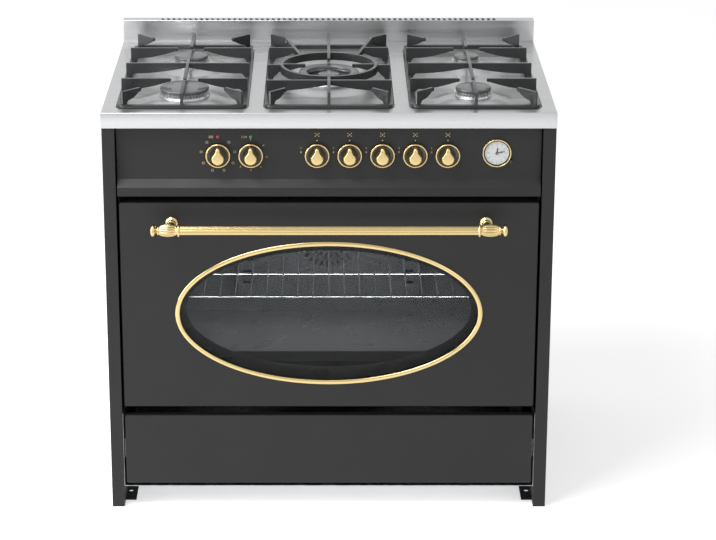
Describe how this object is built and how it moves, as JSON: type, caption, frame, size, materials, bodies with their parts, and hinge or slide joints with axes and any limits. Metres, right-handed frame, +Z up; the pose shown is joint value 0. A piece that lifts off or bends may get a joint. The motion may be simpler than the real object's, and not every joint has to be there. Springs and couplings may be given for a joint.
{
  "type": "dual fuel range cooker",
  "caption": "Freestanding range cooker: gas hob with cast pan supports, electric oven behind a drop-down door with an oval window and a rail handle, and a storage drawer.",
  "frame": {"origin": "centre of the footprint, handle included, on the floor", "axes": "+Z up, -Y to the cook in front, +X to the cook's right"},
  "size_m": [0.9, 0.664, 0.897],
  "materials": {
    "painted_steel": "fine satin powder coat",
    "stainless": "fine brushed",
    "galvanised": "satin zinc coat",
    "brass": "polished and lacquered",
    "enamel": "glossy vitreous enamel",
    "enamelled_iron": "matt enamelled casting",
    "cap_enamel": "glossy black enamel",
    "alloy": "die cast, satin",
    "chrome": "bright plated wire",
    "element_sheath": "heat darkened",
    "outer_glass": "tinted toughened glass",
    "inner_glass": "clear toughened glass",
    "clock_crystal": "clear",
    "lamp_glass": "clear, ribbed",
    "mineral_wool": "felted",
    "woven_seal": "woven glass fibre",
    "ceramic": "unglazed",
    "lens": "clear coloured",
    "pale_plastic": "moulded",
    "black_plastic": "moulded",
    "hand_enamel": "black"
  },
  "bodies": {
    "cabinet": {"side_panel_left": "painted_steel", "side_panel_right": "painted_steel", "base_panel": "galvanised", "back_panel": "painted_steel", "worktop": "stainless", "upstand": "stainless", "control_panel": "painted_steel", "front_frame": "painted_steel", "oven_cavity": "enamel", "oven_gasket": "woven_seal", "insulation": "mineral_wool", "fan_cover": "enamel", "fan_motor": "alloy", "heating_elements": "element_sheath", "oven_lamp": "lamp_glass", "shelf_guides": "chrome", "gas_rail": "alloy", "burner_cups": "alloy", "burner_crowns": "alloy", "burner_caps": "cap_enamel", "burner_electrodes": "ceramic", "indicator_lamps": "lens", "oven_switches": "pale_plastic", "clock_case": "brass", "clock_glass": "clock_crystal", "drawer_slides": "galvanised", "gas_inlet": "brass", "terminal_box": "black_plastic", "screws": "galvanised"},
    "oven_door": {"door_skin": "painted_steel", "door_liner": "enamel", "door_glass_outer": "outer_glass", "door_glass_inner": "inner_glass", "window_ring": "brass", "handle_bar": "brass", "handle_ends": "brass", "door_hinges": "galvanised"},
    "drawer": {"drawer_front": "painted_steel", "drawer_box": "galvanised"},
    "fan": {"fan_blade": "galvanised"},
    "rack": {"oven_rack": "chrome"},
    "tray": {"oven_tray": "enamel"},
    "support_left": {"pan_support_left": "enamelled_iron"},
    "support_centre": {"pan_support_centre": "enamelled_iron"},
    "support_right": {"pan_support_right": "enamelled_iron"},
    "function_selector": {"function_knob": "brass"},
    "thermostat": {"thermostat_knob": "brass"},
    "minute": {"minute_hand": "hand_enamel"},
    "hour": {"hour_hand": "hand_enamel"},
    "clock_setter": {"clock_knob": "black_plastic"},
    "stem_1": {"tap_stem_1": "galvanised"},
    "knob_1": {"gas_knob_1": "brass"},
    "stem_2": {"tap_stem_2": "galvanised"},
    "knob_2": {"gas_knob_2": "brass"},
    "stem_3": {"tap_stem_3": "galvanised"},
    "knob_3": {"gas_knob_3": "brass"},
    "stem_4": {"tap_stem_4": "galvanised"},
    "knob_4": {"gas_knob_4": "brass"},
    "stem_5": {"tap_stem_5": "galvanised"},
    "knob_5": {"gas_knob_5": "brass"}
  },
  "joints": [
    {"name": "door_hinge", "type": "hinge", "parent": "cabinet", "child": "oven_door", "pos_m": [0, -0.246, 0.236], "axis": [1, 0, 0], "range_deg": [0, 90], "stiffness_Nm_per_rad": 10, "springref_deg": -22.92},
    {"name": "drawer_slide", "type": "slide", "parent": "cabinet", "child": "drawer", "axis": [0, -1, 0], "range_m": [0, 0.33]},
    {"name": "fan_spin", "type": "hinge", "parent": "cabinet", "child": "fan", "pos_m": [0, 0.1695, 0.443], "axis": [0, 1, 0], "continuous": true},
    {"name": "rack_slide", "type": "slide", "parent": "cabinet", "child": "rack", "axis": [0, -1, 0], "range_m": [0, 0.033]},
    {"name": "tray_slide", "type": "slide", "parent": "cabinet", "child": "tray", "axis": [0, -1, 0], "range_m": [0, 0.05]},
    {"name": "lift_left", "type": "slide", "parent": "cabinet", "child": "support_left", "axis": [0, 0, 1], "range_m": [0, 0.12]},
    {"name": "lift_centre", "type": "slide", "parent": "cabinet", "child": "support_centre", "axis": [0, 0, 1], "range_m": [0, 0.12]},
    {"name": "lift_right", "type": "slide", "parent": "cabinet", "child": "support_right", "axis": [0, 0, 1], "range_m": [0, 0.12]},
    {"name": "push_1", "type": "slide", "parent": "cabinet", "child": "stem_1", "axis": [0, 1, 0], "range_m": [0, 0.003], "stiffness_N_per_m": 2000, "springref_m": -0.002},
    {"name": "turn_1", "type": "hinge", "parent": "stem_1", "child": "knob_1", "pos_m": [-0.0235, -0.268, 0.76], "axis": [0, -1, 0], "range_deg": [0, 210]},
    {"name": "push_2", "type": "slide", "parent": "cabinet", "child": "stem_2", "axis": [0, 1, 0], "range_m": [0, 0.003], "stiffness_N_per_m": 2000, "springref_m": -0.002},
    {"name": "turn_2", "type": "hinge", "parent": "stem_2", "child": "knob_2", "pos_m": [0.041, -0.268, 0.76], "axis": [0, -1, 0], "range_deg": [0, 210]},
    {"name": "push_3", "type": "slide", "parent": "cabinet", "child": "stem_3", "axis": [0, 1, 0], "range_m": [0, 0.003], "stiffness_N_per_m": 2000, "springref_m": -0.002},
    {"name": "turn_3", "type": "hinge", "parent": "stem_3", "child": "knob_3", "pos_m": [0.106, -0.268, 0.76], "axis": [0, -1, 0], "range_deg": [0, 210]},
    {"name": "push_4", "type": "slide", "parent": "cabinet", "child": "stem_4", "axis": [0, 1, 0], "range_m": [0, 0.003], "stiffness_N_per_m": 2000, "springref_m": -0.002},
    {"name": "turn_4", "type": "hinge", "parent": "stem_4", "child": "knob_4", "pos_m": [0.171, -0.268, 0.76], "axis": [0, -1, 0], "range_deg": [0, 210]},
    {"name": "push_5", "type": "slide", "parent": "cabinet", "child": "stem_5", "axis": [0, 1, 0], "range_m": [0, 0.003], "stiffness_N_per_m": 2000, "springref_m": -0.002},
    {"name": "turn_5", "type": "hinge", "parent": "stem_5", "child": "knob_5", "pos_m": [0.2355, -0.268, 0.76], "axis": [0, -1, 0], "range_deg": [0, 210]},
    {"name": "function_turn", "type": "hinge", "parent": "cabinet", "child": "function_selector", "pos_m": [-0.22, -0.268, 0.76], "axis": [0, 1, 0], "continuous": true},
    {"name": "thermostat_turn", "type": "hinge", "parent": "cabinet", "child": "thermostat", "pos_m": [-0.155, -0.268, 0.76], "axis": [0, 1, 0], "range_deg": [0, 270]},
    {"name": "minute_turn", "type": "hinge", "parent": "cabinet", "child": "minute", "pos_m": [0.333, -0.26, 0.764], "axis": [0, 1, 0], "continuous": true},
    {"name": "hour_turn", "type": "hinge", "parent": "cabinet", "child": "hour", "pos_m": [0.333, -0.259, 0.764], "axis": [0, 1, 0], "continuous": true},
    {"name": "setting_turn", "type": "hinge", "parent": "cabinet", "child": "clock_setter", "pos_m": [0.3612, -0.259, 0.7468], "axis": [0, 1, 0], "continuous": true}
  ],
  "couplings": [
    {"joint": "hour_turn", "follows": "minute_turn", "ratio": 0.083333}
  ]
}
